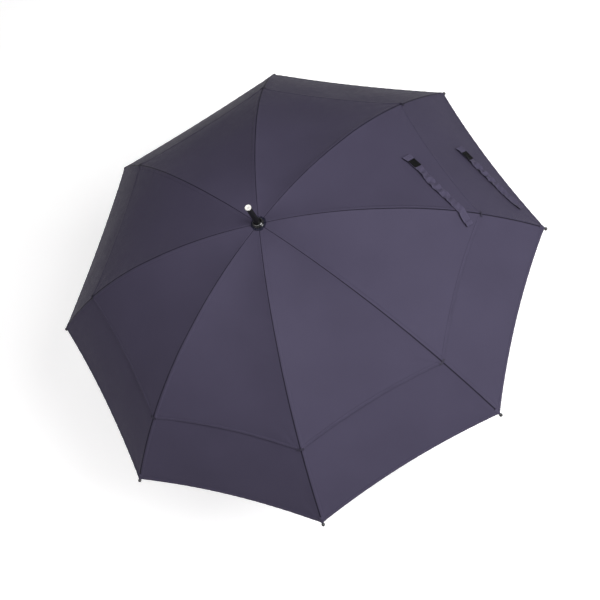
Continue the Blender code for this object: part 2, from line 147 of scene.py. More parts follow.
def swell(k, s, v, upper):
    """The broad part of the relief: a slow roll, and the vent's hem standing off."""
    hem = np.maximum(hem_arc(v, upper) - s, 0.0)
    tone = gore_phase(k, upper)
    roll = np.sin(2 * np.pi * s / 0.19 + 1.3 * tone)
    roll = roll * np.cos(2 * np.pi * v * half_width(s) / 0.23 + 2.1 * tone)
    high = 0.0009 * roll * (1 - v * v) * np.minimum(s / 0.15, 1.0) * (1 - np.exp(-hem / 0.05))
    high -= EASE_SAG * (1 - v * v) * ease(s / 0.20) * (1 - ease((s - 0.34) / 0.18))
    if upper:
        high += 0.0016 * (1 - v * v) * ease((s - 0.40) / 0.14)
    return high


def relief(k, s, v, upper):
    """How far the cloth stands off its smooth surface: seam, allowance, puckers and pulls."""
    w = half_width(s)
    near = np.minimum(1.0, w / 0.030)
    left, right = (1 - v) * w, (1 + v) * w
    edge = np.minimum(left, right)
    hem = np.maximum(hem_arc(v, upper) - s, 0.0)
    tone = gore_phase(k, upper)
    rise = near * (0.04 + 0.96 * ease((s - 0.12) / 0.22)) * (1.0 if upper else 0.6)
    high = -0.0008 * np.exp(-((edge / 0.0011) ** 2))
    high += rise * 0.0014 * ease((0.0112 - right) / 0.0052)
    high -= rise * 0.0011 * np.maximum(1 - right / 0.0056, 0.0)
    high += 0.0003 * near * ease((0.0060 - left) / 0.0030)
    run = 2 * np.pi * s
    ripple = np.sin(run / 0.027 + tone + 1.4 * np.sin(run / 0.13 + 2 * tone))
    ripple += 0.6 * np.sin(run / 0.041 + 2.3 * tone)
    high += 0.00022 * near * ripple * np.exp(-edge / 0.013) * (1 - np.exp(-edge / 0.003))
    side = 2 * np.pi * v * w
    pleat = np.sin(side / 0.024 + tone + 1.1 * np.sin(side / 0.10 + tone))
    high += 0.00026 * pleat * np.exp(-hem / 0.016)
    for sign in (-1, 1):
        out, across = hem + 0.004, (1 - sign * v) * w
        reach = np.hypot(out, across)
        fan = np.cos(9 * np.arctan2(across, out) + sign * 0.8 + tone)
        high += 0.00065 * fan * np.exp(-reach / 0.055) * (1 - np.exp(-across / 0.010))
    return high + swell(k, s, v, upper)


def cloth_points(k, s, v, upper, extra=0.0, detailed=True):
    """Points on the outer face of gore k; v may run past an edge onto the next gore."""
    s, v = np.broadcast_arrays(np.asarray(s, float), np.asarray(v, float))
    turns = np.round(v / 2)
    inside = v - 2 * turns
    high = base_lift(s, upper) + CLOTH / 2 + extra
    high = high + (relief if detailed else swell)(k - turns, s, inside, upper)
    points = gore_points(s, inside, high)
    turn = turns * 2 * HALF + gore_azimuth(k)
    c, n = np.cos(turn), np.sin(turn)
    x, y = points[..., 0] * c - points[..., 1] * n, points[..., 0] * n + points[..., 1] * c
    return np.stack([x, y, points[..., 2]], -1)


def closed_share(s):
    """Share of its open width that a gore has at s once the ribs lie along the shaft."""
    x, z, _ = rib_line(s, LIFT)
    x, z = x * math.cos(HALF) - PIVOT_R, z - LIFT
    inward = PIVOT_R + x * math.cos(GORE_FOLD) + z * math.sin(GORE_FOLD)
    return float(inward * math.tan(HALF) / half_width(s))


# ---- Meshes ----------------------------------------------
def unit(vectors):
    size = np.linalg.norm(vectors, axis=-1, keepdims=True)
    return vectors / np.maximum(size, 1e-12)


def grid_normals(points):
    du = np.gradient(points, axis=1)
    dv = np.gradient(points, axis=0)
    return unit(np.cross(du, dv))


def new_object(name, verts, faces, mats, normals=None, values=None):
    mesh = bpy.data.meshes.new(name)
    mesh.from_pydata([tuple(p) for p in verts], [], [tuple(int(i) for i in f) for f in faces])
    for key, numbers in (values or {}).items():
        layer = mesh.attributes.new(key, "FLOAT", "POINT")
        layer.data.foreach_set("value", np.asarray(numbers, np.float32).ravel())
    mesh.materials.append(mats)
    mesh.validate()
    mesh.shade_smooth()
    if normals is None:
        mesh.set_sharp_from_angle(angle=CREASE)
    else:
        mesh.normals_split_custom_set_from_vertices([tuple(n) for n in normals])
    made = bpy.data.objects.new(name, mesh)
    bpy.context.collection.objects.link(made)
    return made


def grid_faces(rows, columns, first=0, flip=False):
    index = first + np.arange(rows * columns).reshape(rows, columns)
    quads = np.stack([index[:-1, :-1], index[:-1, 1:], index[1:, 1:], index[1:, :-1]], -1)
    quads = quads.reshape(-1, 4)
    return quads[:, ::-1] if flip else quads


def thin_sheet(name, over, normals, thick, mats, values=None):
    """A closed sheet under a grid of points; normals may come from the surface's own maths."""
    rows, columns = over.shape[:2]
    count = rows * columns
    facing = np.cross(over[0, 1] - over[0, 0], over[1, 0] - over[0, 0]) @ normals[0, 0] > 0
    under = over - normals * thick
    faces = [grid_faces(rows, columns, 0, not facing), grid_faces(rows, columns, count, facing)]
    index = np.arange(count).reshape(rows, columns)
    loop = np.concatenate([index[0, :-1], index[:-1, -1], index[-1, :0:-1], index[:0:-1, 0]])
    after = np.roll(loop, -1)
    rim = np.stack([after, loop, loop + count, after + count], -1)
    faces.append(rim if facing else rim[:, ::-1])
    verts = np.concatenate([over.reshape(-1, 3), under.reshape(-1, 3)])
    shown = np.concatenate([normals.reshape(-1, 3), -normals.reshape(-1, 3)])
    doubled = {key: np.concatenate([x.ravel(), x.ravel()]) for key, x in (values or {}).items()}
    return new_object(name, verts, np.concatenate(faces), mats, shown, doubled)


def band_tube(name, rings, mats, values=None):
    """A closed tube through rings of points, one ring after another."""
    rings = np.asarray(rings, float)
    count, section = rings.shape[:2]
    index = np.arange(count * section).reshape(count, section)
    beside = np.roll(index, -1, axis=1)
    quads = np.stack([index[:-1], beside[:-1], beside[1:], index[1:]], -1).reshape(-1, 4)
    faces = [tuple(q) for q in quads] + [tuple(index[0][::-1]), tuple(index[-1])]
    centre = rings[0].mean(0)
    a, b = rings[0, 0] - centre, rings[0, 1] - centre
    if np.dot(np.cross(a, b), rings[1].mean(0) - centre) < 0:
        faces = [tuple(reversed(f)) for f in faces]
    return new_object(name, rings.reshape(-1, 3), faces, mats, None, values)


def turned(name, outline, mats, segments=72):
    """A surface of revolution about the shaft's axis from (radius, z) points in order."""
    verts, rows, faces = [], [], []
    for r, z in outline:
        if r < 1e-9:
            rows.append([len(verts)] * segments)
            verts.append((0.0, 0.0, z))
            continue
        rows.append(list(range(len(verts), len(verts) + segments)))
        for j in range(segments):
            a = 2 * math.pi * j / segments
            verts.append((r * math.cos(a), r * math.sin(a), z))
    closed = outline[0][0] > 1e-9 or outline[-1][0] > 1e-9
    for i in range(len(outline) if closed else len(outline) - 1):
        low, high = rows[i], rows[(i + 1) % len(outline)]
        for j in range(segments):
            n = (j + 1) % segments
            face = []
            for corner in (low[j], low[n], high[n], high[j]):
                if corner not in face:
                    face.append(corner)
            if len(face) > 2:
                faces.append(tuple(face))
    return new_object(name, verts, faces, mats)


def softened(outline, radius=0.0004, steps=3):
    """The outline with each corner off the axis rounded."""
    found = []
    count = len(outline)
    for i, (r, z) in enumerate(outline):
        here = Vector((r, z))
        before, after = Vector(outline[i - 1]), Vector(outline[(i + 1) % count])
        a, b = before - here, after - here
        cut = min(radius, a.length * 0.45, b.length * 0.45)
        if r < 1e-9 or cut < 1e-6 or a.angle(b) > math.radians(160):
            found.append((r, z))
            continue
        start, end = here + a.normalized() * cut, here + b.normalized() * cut
        for j in range(steps + 1):
            t = j / steps
            p = start.lerp(here, t).lerp(here.lerp(end, t), t)
            found.append((p.x, p.y))
    return found


def swept(path, across, radius, section=14):
    """Rings of a round rod along points; across is a vector that the path never follows."""
    path = np.asarray(path, float)
    along = unit(np.gradient(path, axis=0))
    side = unit(np.cross(along, np.asarray(across, float)))
    up = unit(np.cross(side, along))
    radius = np.broadcast_to(np.asarray(radius, float), (len(path),))[:, None, None]
    angle = np.linspace(0, 2 * np.pi, section, endpoint=False)[None, :, None]
    ring = side[:, None, :] * np.cos(angle) + up[:, None, :] * np.sin(angle)
    return path[:, None, :] + ring * radius


def joined(name, parts):
    """One object from several, each keeping its own materials."""
    bpy.ops.object.select_all(action="DESELECT")
    for part in parts:
        part.select_set(True)
    bpy.context.view_layer.objects.active = parts[0]
    bpy.ops.object.join()
    parts[0].name = name
    parts[0].data.name = name
    return parts[0]


# ---- Materials -------------------------------------------
class Graph:
    """A Principled material and the nodes that drive it."""

    def __init__(self, name, colour, rough, **fixed):
        self.mat = bpy.data.materials.new(name)
        self.mat.use_nodes = True
        self.tree = self.mat.node_tree
        self.bsdf = self.tree.nodes["Principled BSDF"]
        self.colour = colour
        self.set("Base Color", (*colour, 1.0))
        self.set("Roughness", rough)
        self.mat.diffuse_color = (*colour, 1.0)
        for key, value in fixed.items():
            self.set(key.replace("_", " "), value)
        self.where = self.node("ShaderNodeTexCoord").outputs["Object"]

    def set(self, socket, value):
        self.bsdf.inputs[socket].default_value = value

    def node(self, kind, **fields):
        made = self.tree.nodes.new(kind)
        for key, value in fields.items():
            setattr(made, key, value)
        return made

    def feed(self, source, target):
        if isinstance(source, (int, float, tuple)):
            target.default_value = source
        else:
            self.tree.links.new(source, target)

    def math(self, operation, *terms):
        made = self.node("ShaderNodeMath", operation=operation)
        for term, target in zip(terms, made.inputs):
            self.feed(term, target)
        return made.outputs[0]

    def noise(self, scale, detail=2.0, rough=0.5, stretch=None):
        made = self.node("ShaderNodeTexNoise")
        made.inputs["Scale"].default_value = scale
        made.inputs["Detail"].default_value = detail
        made.inputs["Roughness"].default_value = rough
        where = self.where
        if stretch:
            mapping = self.node("ShaderNodeMapping")
            mapping.inputs["Scale"].default_value = stretch
            self.feed(where, mapping.inputs["Vector"])
            where = mapping.outputs[0]
        self.feed(where, made.inputs["Vector"])
        return made.outputs["Fac"]

    def attribute(self, name):
        return self.node("ShaderNodeAttribute", attribute_name=name).outputs["Fac"]

    def scaled(self, source, low, high, to_low, to_high, smooth=False):
        made = self.node("ShaderNodeMapRange")
        if smooth:
            made.interpolation_type = "SMOOTHSTEP"
        for term, target in zip((source, low, high, to_low, to_high), made.inputs):
            self.feed(term, target)
        return made.outputs[0]

    def mix(self, share, one, two):
        made = self.node("ShaderNodeMix", data_type="RGBA")
        self.feed(share, made.inputs["Factor"])
        for value, target in ((one, made.inputs["A"]), (two, made.inputs["B"])):
            target = [i for i in made.inputs if i.name == target.name and i.type == "RGBA"][0]
            self.feed((*value, 1.0) if isinstance(value, tuple) else value, target)
        return [o for o in made.outputs if o.type == "RGBA"][0]

    def bump(self, height, distance, strength=1.0, below=None):
        made = self.node("ShaderNodeBump")
        made.inputs["Distance"].default_value = distance
        made.inputs["Strength"].default_value = strength
        self.feed(height, made.inputs["Height"])
        if below is not None:
            self.feed(below, made.inputs["Normal"])
        return made.outputs[0]

    def to(self, source, socket):
        self.feed(source, self.bsdf.inputs[socket])

    def tint(self, field, dark, light):
        """Let a field run the colour from a darker share to a lighter one."""
        shade = self.mix(field, tinted(self.colour, dark), tinted(self.colour, light))
        self.to(shade, "Base Color")


def tinted(colour, share):
    """A darker or lighter colour."""
    return tuple(min(c * share, 1) for c in colour)


SEAM_ROWS = (0.0021, 0.0087)    # a seam's two rows of stitches, from its line


def stitches(g, distance, at, along, width=0.00045, pitch=0.0031):
    """1 on a row of stitches: distance from an edge, place of the row, and length along it."""
    off = g.math("ABSOLUTE", g.math("SUBTRACT", distance, at))
    line = g.scaled(off, width * 0.45, width, 1.0, 0.0, True)
    part = g.math("FRACT", g.math("DIVIDE", along, pitch))
    dash = g.math("ABSOLUTE", g.math("SUBTRACT", part, 0.5))
    return g.math("MULTIPLY", line, g.scaled(dash, 0.32, 0.40, 1.0, 0.0, True))


def weave(g, across, along, pitch=0.00062):
    """Height of a plain weave from two lengths in metres."""
    turn = 2 * math.pi / pitch
    a = g.math("SINE", g.math("MULTIPLY", across, turn))
    b = g.math("SINE", g.math("MULTIPLY", along, turn))
    return g.math("MULTIPLY", a, b)


def pongee(name, colour):
    """The base of the canopy's dense, dull cloth."""
    g = Graph(name, colour, 0.52, Sheen_Weight=0.02, Sheen_Roughness=0.45)
    g.set("Sheen Tint", (0.80, 0.74, 0.92, 1.0))
    g.set("Specular IOR Level", 0.02)
    return g


def canopy_cloth(name, colour):
    """The canopy's cloth, with its seams' creases, allowances and stitches, and painted shade
    along each seam's crease and the allowance's folded edge.
    """
    g = pongee(name, colour)
    arc, across, half = (g.attribute(n) for n in ("arc", "across", "half"))
    left, right = g.math("SUBTRACT", half, across), g.math("ADD", half, across)
    edge = g.math("MINIMUM", left, right)
    cloud = g.noise(7.0, 3.0)
    slub = g.noise(900.0, 1.0, stretch=(1.0, 1.0, 0.25))
    warp = g.noise(60.0, 2.0, 0.6)
    tone = g.math("ADD", g.math("MULTIPLY", cloud, 0.75), g.math("MULTIPLY", slub, 0.15))
    tone = g.math("ADD", tone, g.math("MULTIPLY", warp, 0.10))
    shade = g.mix(tone, tinted(colour, 0.86), tinted(colour, 1.13))
    out = g.scaled(arc, 0.015, 0.10, 0.65, 1.0, True)
    wide = g.scaled(arc, 0.10, 0.55, 0.0013, 0.0030)    # the painted crease shade widens outward
    # painted shade: the cloth darkened along each seam's crease, where shade gathers, weaker near
    # the crown
    crease_shade = g.math("MULTIPLY", g.scaled(edge, 0.0005, wide, 0.90, 0.0, True), out)
    shade = g.mix(crease_shade, shade, tinted(colour, 0.16))
    # painted shade: a dark line at the folded edge of the seam allowance, standing in for the
    # shade under that edge
    step = g.math("ABSOLUTE", g.math("SUBTRACT", right, 0.0104))
    fold_shade = g.math("MULTIPLY", g.scaled(step, 0.0002, 0.0009, 0.16, 0.0, True), out)
    shade = g.mix(fold_shade, shade, tinted(colour, 0.4))
    near, far = (stitches(g, right, at, arc) for at in SEAM_ROWS)
    rows = g.math("ADD", near, far)
    rows = g.math("MULTIPLY", g.math("MINIMUM", rows, 1.0), out)
    shade = g.mix(g.math("MULTIPLY", rows, 0.24), shade, tinted(colour, 1.7))
    g.to(shade, "Base Color")
    g.to(g.scaled(warp, 0.3, 0.7, 0.44, 0.56), "Roughness")
    threads = g.bump(weave(g, across, arc), 0.00006, 0.5)
    crinkle = g.bump(g.noise(140.0, 3.0, 0.55), 0.00035, 0.30, threads)
    g.to(g.bump(rows, 0.0003, 0.8, crinkle), "Normal")
    return g.mat


def edge_cloth(name, colour, rows_at, width, pitch=0.0031):
    """Cloth with rows of stitches at given distances from one edge of a band, and painted shade
    close to the band's edges.
    """
    g = pongee(name, colour)
    arc, across = g.attribute("arc"), g.attribute("across")
    cloud = g.noise(25.0, 3.0)
    shade = g.mix(cloud, tinted(colour, 0.84), tinted(colour, 1.14))
    rows = None
    for at in rows_at:
        found = stitches(g, across, at, arc, 0.0005, pitch)
        rows = found if rows is None else g.math("MAXIMUM", rows, found)
    shade = g.mix(g.math("MULTIPLY", rows, 0.5), shade, tinted(colour, 2.0))
    # painted shade: the cloth darkened close to both edges of the band, standing in for the shade
    # where it meets the cloth beneath
    rim = g.math("MINIMUM", across, g.math("SUBTRACT", width, across))
    shade = g.mix(g.scaled(rim, 0.0, 0.0008, 0.25, 0.0, True), shade, tinted(colour, 0.4))
    g.to(shade, "Base Color")
    g.to(g.scaled(cloud, 0.3, 0.7, 0.44, 0.58), "Roughness")
    threads = g.bump(weave(g, across, arc), 0.00006, 0.5)
    crinkle = g.bump(g.noise(260.0, 3.0, 0.6), 0.0004, 0.35, threads)
    g.to(g.bump(rows, 0.0003, 0.8, crinkle), "Normal")
    return g.mat


def plain_cloth(name, colour, scale=300.0):
    g = Graph(name, colour, 0.66)
    g.set("Specular IOR Level", 0.2)
    cloud = g.noise(scale * 0.2, 3.0)
    g.tint(cloud, 0.7, 1.25)
    g.to(g.scaled(cloud, 0.3, 0.7, 0.58, 0.74), "Roughness")
    fine = g.bump(g.noise(scale * 9, 2.0), 0.00012, 0.5)
    g.to(g.bump(g.noise(scale, 3.0, 0.6), 0.0004, 0.5, fine), "Normal")
    return g.mat


def moulded(name, colour, rough, scale=260.0, coat=0.0):
    g = Graph(name, colour, rough, Coat_Weight=coat, Coat_Roughness=0.08)
    cloud = g.noise(scale * 0.25, 3.0, 0.6)
    g.tint(cloud, 0.8, 1.25)
    scuff = g.noise(scale, 4.0, 0.7, stretch=(1.0, 1.0, 0.3))
    g.to(g.scaled(scuff, 0.35, 0.75, rough * 0.85, rough * 1.35), "Roughness")
    g.to(g.bump(g.noise(scale * 3, 2.0), 0.00008, 0.25), "Normal")
    return g.mat


def coated_tube(name, colour, rough):
    g = Graph(name, colour, rough)
    cloud = g.noise(40.0, 3.0)
    g.tint(cloud, 0.85, 1.2)
    lines = g.noise(500.0, 2.0, stretch=(1.0, 1.0, 0.04))
    g.to(g.scaled(lines, 0.3, 0.7, rough * 0.85, rough * 1.25), "Roughness")
    g.to(g.bump(g.noise(1800.0, 2.0), 0.00005, 0.35), "Normal")
    return g.mat


def bright_metal(name, colour, rough, stretch=(1.0, 1.0, 0.08)):
    g = Graph(name, colour, rough, Metallic=1.0)
    lines = g.noise(700.0, 3.0, 0.6, stretch=stretch)
    g.tint(lines, 0.82, 1.1)
    wear = g.noise(60.0, 3.0)
    g.to(g.scaled(wear, 0.35, 0.7, rough * 0.8, rough * 1.4), "Roughness")
    g.to(g.bump(lines, 0.00003, 0.3), "Normal")
    return g.mat


def end_disc(name, colour):
    """Off-white moulded disc with faint turned rings, with painted shade in its central dimple and
    on its rounded rim.
    """
    g = Graph(name, colour, 0.34, Coat_Weight=0.25, Coat_Roughness=0.15)
    split = g.node("ShaderNodeSeparateXYZ")
    g.feed(g.where, split.inputs[0])
    x, y = split.outputs[0], split.outputs[1]
    r = g.math("SQRT", g.math("ADD", g.math("MULTIPLY", x, x), g.math("MULTIPLY", y, y)))
    rings = g.math("SINE", g.math("MULTIPLY", r, 2 * math.pi / 0.00075))
    wear = g.noise(420.0, 3.0, 0.6)
    shade = g.mix(wear, tinted(colour, 0.88), tinted(colour, 1.05))
    # painted shade in the disc's central dimple
    dip = g.scaled(r, 0.0018, 0.0034, 0.40, 0.0, True)
    shade = g.mix(dip, shade, tinted(colour, 0.45))
    # painted shade on the disc's rounded rim, where its edge turns away from the light
    rim = g.scaled(r, 0.0068, 0.0078, 0.0, 0.60, True)
    g.to(g.mix(rim, shade, tinted(colour, 0.35)), "Base Color")
    g.to(g.scaled(wear, 0.3, 0.7, 0.28, 0.46), "Roughness")
    g.to(g.bump(rings, 0.00005, 0.6), "Normal")
    return g.mat


def soft_grip(name, colour):
    g = Graph(name, colour, 0.72)
    cells = g.node("ShaderNodeTexVoronoi", feature="SMOOTH_F1")
    cells.inputs["Scale"].default_value = 900.0
    g.feed(g.where, cells.inputs["Vector"])
    cloud = g.noise(45.0, 3.0)
    g.tint(cloud, 0.8, 1.3)
    g.to(g.scaled(cloud, 0.3, 0.7, 0.64, 0.82), "Roughness")
    g.to(g.bump(cells.outputs["Distance"], 0.0003, 0.45), "Normal")
    return g.mat


def hook_tape(name, colour):
    g = Graph(name, colour, 0.95)
    g.set("Specular IOR Level", 0.12)
    cells = g.node("ShaderNodeTexVoronoi")
    cells.inputs["Scale"].default_value = 1100.0
    g.feed(g.where, cells.inputs["Vector"])
    spots = cells.outputs["Distance"]
    g.tint(spots, 2.2, 0.5)
    g.to(g.scaled(g.noise(300.0), 0.3, 0.7, 0.80, 0.98), "Roughness")
    g.to(g.bump(spots, 0.0008, 0.7), "Normal")
    return g.mat


SLATE = (0.0505, 0.0447, 0.0735)
UPPER_CLOTH = canopy_cloth("canopy_upper_cloth", SLATE)
LOWER_CLOTH = canopy_cloth("canopy_lower_cloth", tinted(SLATE, 0.97))
HEM_CLOTH = edge_cloth("hem_cloth", tinted(SLATE, 0.98), (0.0068,), 0.0082)
STRAP_CLOTH = edge_cloth("strap_cloth", tinted(SLATE, 1.20), (0.0018,), 0.030, 0.0026)
TAPE_CLOTH = plain_cloth("tab_tape", (0.027, 0.024, 0.040), 700.0)
ROSETTE_CLOTH = plain_cloth("rosette_cloth", (0.0060, 0.0060, 0.0180), 420.0)
THREAD = plain_cloth("tie_thread", (0.030, 0.027, 0.040), 1500.0)
GLOSS = moulded("gloss_black", (0.010, 0.010, 0.011), 0.16, 300.0, 0.6)
TIP_GLOSS = moulded("tip_black", (0.010, 0.010, 0.011), 0.20, 500.0, 0.5)
NYLON = moulded("runner_nylon", (0.014, 0.014, 0.015), 0.34, 260.0)
SATIN = coated_tube("satin_black", (0.0050, 0.0050, 0.0054), 0.36)
TUBE = coated_tube("shaft_black", (0.018, 0.018, 0.020), 0.36)
STEEL = bright_metal("zinc_steel", (0.55, 0.55, 0.56), 0.30)
WIRE = bright_metal("ring_wire", (0.60, 0.60, 0.60), 0.24, (1.0, 1.0, 1.0))
DISC = end_disc("end_disc", (0.74, 0.73, 0.70))
COLLAR = bright_metal("handle_silver", (0.66, 0.66, 0.66), 0.26, (0.3, 0.3, 1.0))
GRIP = soft_grip("soft_grip", (0.020, 0.020, 0.022))
HOOK = hook_tape("hook_tape", (0.0028, 0.0028, 0.0032))
GLASS = coated_tube("glass_fibre", (0.024, 0.024, 0.027), 0.34)


# ---- Canopy ----------------------------------------------
EDGE = np.array([0, 0.5, 1.1, 1.9, 3.2, 5.2, 7.6, 9.0, 9.8, 10.6, 12.5, 16.0, 21.0]) * 0.001
UPPER_BANDS = (
    0.0012, 0.030, 0.065, 0.100, 0.140, 0.180, 0.220, 0.260, 0.300,
    0.340, 0.380, 0.420, 0.460, 0.500, VENT,
)
LOWER_BANDS = (UNDERLAP, 0.445, 0.500, 0.540, 0.575, 0.610, 0.645, 0.680, 0.715, LENGTH)


def columns(w, count):
    """Places across a gore of half width w, closer together at its seams."""
    edge = EDGE * min(1.0, w / 0.030)
    inner = np.linspace(-w + edge[-1], w - edge[-1], count)
    return np.concatenate([-w + edge[:-1], inner, (w - edge[:-1])[::-1]])


def gore_band(k, upper, number, start, end, last):
    """One band of a gore's cloth; neighbouring bands share their edge exactly."""
    dip = (VENT_DIP if upper else HEM_DIP) if last else 0.0
    rows = max(4, round((end - start) / 0.0052))
    count = max(6, round(2 * half_width(end) / 0.0085))
    s, v = [], []
    for j in range(rows + 1):
        t = j / rows
        w = float(half_width(start + (end - start) * t))
        lateral = columns(w, count) / w
        s.append(start + (end - dip * (1 - lateral ** 2) - start) * t)
        v.append(lateral)
    s, v = np.array(s), np.array(v)
    over = cloth_points(k, s, v, upper)
    d = 0.0004
    ds = cloth_points(k, s + d, v, upper) - cloth_points(k, s - d, v, upper)
    dv = cloth_points(k, s, np.clip(v + 0.002, -1, 1), upper)
    dv = dv - cloth_points(k, s, np.clip(v - 0.002, -1, 1), upper)
    normals = unit(np.cross(ds, dv))
    normals *= np.sign(normals[..., 2:3])
    w = half_width(s)
    values = {"arc": s, "across": v * w, "half": w}
    kind = "upper" if upper else "lower"
    name = f"canopy_{kind}_{k}_{'abcdefghijklmn'[number]}"
    made = thin_sheet(name, over, normals, CLOTH, UPPER_CLOTH if upper else LOWER_CLOTH, values)
    ride_gore(made, k)
    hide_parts(f"{kind}_panel_{k}")


def ride_gore(made, k):
    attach(made, f"gore_{k}")
    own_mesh(made)
    return made


def hem_band(k, upper):
    """The edge of a gore folded under and sewn: a rounded strip that follows the edge."""
    section = [(-8.0, 0.10), (-7.7, 0.55), (-5.0, 0.72), (-2.0, 0.75), (-0.4, 0.55), (0.3, -0.05)]
    section += [(-0.1, -0.62), (-1.6, -0.95), (-7.4, -0.90), (-7.9, -0.60)]
    v = np.concatenate([np.linspace(-1, -0.92, 10)[:-1], np.linspace(-0.92, 0.92, 90)])
    v = np.concatenate([v, np.linspace(0.92, 1, 10)[1:]])
    stop = hem_arc(v, upper)
    corner = ease((1 - np.abs(v)) / 0.05)
    rings, arc, across = [], [], []
    for off, high in section:
        s = stop + off * 0.001 * (0.55 + 0.45 * corner)
        rings.append(cloth_points(k, s, v * 0.9985, upper, high * 0.001))
        arc.append(v * half_width(stop))
        across.append(np.full_like(v, 0.0003 - off * 0.001))
    rings = np.stack(rings, 1)
    values = {"arc": np.stack(arc, 1), "across": np.stack(across, 1)}
    kind = "upper" if upper else "lower"
    made = band_tube(f"hem_{kind}_{k}", rings, HEM_CLOTH, values)
    ride_gore(made, k)


def build_canopy():
    for k in range(1, RIBS + 1):
        for upper, bands in ((True, UPPER_BANDS), (False, LOWER_BANDS)):
            for number, (start, end) in enumerate(zip(bands, bands[1:])):
                gore_band(k, upper, number, start, end, end == bands[-1])
            hem_band(k, upper)


# ---- Ribs ------------------------------------------------
UP = Vector((0.0, 0.0, 1.0))


def radial(azimuth):
    return Vector((math.cos(azimuth), math.sin(azimuth), 0.0))


def rib_frame(k, s, lift=0.0):
    """Point on rib k, with the directions along it, across it and out of the canopy."""
    x, z, a = rib_line(s, lift)
    out = radial(rib_azimuth(k))
    along = out * math.cos(a) - UP * math.sin(a)
    up = out * math.sin(a) + UP * math.cos(a)
    across = Vector((-out.y, out.x, 0.0))
    return out * float(x) + Vector((0, 0, PIVOT_Z + float(z))), along, across, up


def plate(name, outline, half, to_world, mats, bevel=0.0003):
    """An extruded outline with softened edges, placed by a function of (x, y, z)."""
    verts = [(x, -half, z) for x, z in outline] + [(x, half, z) for x, z in outline]
    n = len(outline)
    faces = [tuple(range(n)), tuple(range(2 * n - 1, n - 1, -1))]
    faces += [(j, n + j, n + (j + 1) % n, (j + 1) % n) for j in range(n)]
    made = new_object(name, [to_world(*p) for p in verts], faces, mats)
    return bevelled(made, bevel)


def bevelled(made, width, segments=2):
    cut = made.modifiers.new("edges", "BEVEL")
    cut.width = width
    cut.segments = segments
    cut.limit_method = "ANGLE"
    cut.angle_limit = CREASE
    cut.harden_normals = False
    return made


def apply_modifiers(made):
    graph = bpy.context.evaluated_depsgraph_get()
    mesh = bpy.data.meshes.new_from_object(made.evaluated_get(graph))
    made.modifiers.clear()
    made.data = mesh
    mesh.shade_smooth()
    mesh.set_sharp_from_angle(angle=CREASE)
    return made


def build_rib(k):
    arcs = np.linspace(0.0085, LENGTH + 0.0050, 110)
    path = [rib_frame(k, s)[0] for s in arcs]
    _, _, across, _ = rib_frame(k, 0.1)
    taper = ROD * (1.0 - 0.10 * ease((arcs - 0.35) / 0.4))
    rod = band_tube(f"rod_{k}", swept(path, across, taper), GLASS)

    start, _, side, _ = rib_frame(k, 0.0)
    out = radial(rib_azimuth(k))

    def from_eye(x, y, z):
        return start + out * x + side * y + UP * z

    turn = np.linspace(math.pi / 2, 1.5 * math.pi, 9)
    eye = [(0.0022 * math.cos(t), 0.0019 * math.sin(t)) for t in turn]
    head = plate(f"eye_{k}", eye + [(0.0120, -0.0020), (0.0120, 0.0020)], 0.0011, from_eye, NYLON)
    centre, along, side, normal = rib_frame(k, LUG_S)

    def from_lug(x, y, z):
        return centre + along * x + side * y + normal * z

    lug = [(0.0085, 0.0004), (0.0078, -0.0022), (0.0034, -0.0030)]
    turn = np.linspace(0, -math.pi, 9)
    lug += [(0.0026 * math.cos(t), -0.0050 + 0.0026 * math.sin(t)) for t in turn]
    lug += [(-0.0034, -0.0030), (-0.0078, -0.0022), (-0.0085, 0.0004)]
    fin = plate(f"lug_{k}", lug, 0.0010, from_lug, NYLON)
    clip = [rib_frame(k, LUG_S + d)[0] for d in np.linspace(-0.010, 0.010, 9)]
    clip_r = 0.0025 - 0.0004 * np.abs(np.linspace(-1, 1, 9)) ** 6
    clip = band_tube(f"clip_{k}", swept(clip, across, clip_r, 18), NYLON)
    ties = []
    for n, s in enumerate((0.115, 0.235, 0.440, 0.505, 0.640)):
        turns = []
        for t in np.linspace(0, 1, 41):
            here, along, side, normal = rib_frame(k, s + 0.0022 * (t - 0.5))
            a = 2 * math.pi * 4 * t
            turns.append(here + side * math.cos(a) * 0.0021 + normal * math.sin(a) * 0.0023)
        ties.append(band_tube(f"tie_{k}_{n}", swept(turns, along, 0.00028, 6), THREAD))
    for part in (head, fin):
        apply_modifiers(part)
    made = joined(f"rib_rod_{k}", [rod, head, fin, clip, *ties])
    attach(made, f"rib_{k}")
    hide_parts(f"rib_{k}")


def build_tip(k):
    """A glossy ball end on a narrow neck, with the small loop of thread that holds the cloth."""
    ball, radius = 0.0078, 0.0047
    outline = [(0.0024, 0.0009), (0.0030, 0.0009), (0.0032, 0.0014), (0.0030, 0.0020)]
    outline.append((0.0027, 0.0028))
    for t in np.linspace(math.radians(-52), math.radians(90), 18):
        outline.append((max(radius * math.cos(t), 0.0), ball + radius * math.sin(t)))
    outline[-1] = (0.0, ball + radius)
    origin, along, side, normal = rib_frame(k, LENGTH)
    knob = turned(f"ball_{k}", outline + [(0.0, 0.0012)], TIP_GLOSS, 40)
    place = Matrix((-side, -normal, along)).transposed().to_4x4()
    place.translation = origin
    knob.data.transform(place)
    loop = []
    for t in np.linspace(0, 2 * math.pi, 33):
        loop.append(origin + along * 0.0024 + (side * math.cos(t) + normal * math.sin(t)) * 0.0030)
    knot = band_tube(f"knot_{k}", swept(loop, along, 0.00035, 6), THREAD)
    made = joined(f"tip_ball_{k}", [knob, knot])
    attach(made, f"rib_{k}")
    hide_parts(f"rib_tip_{k}")


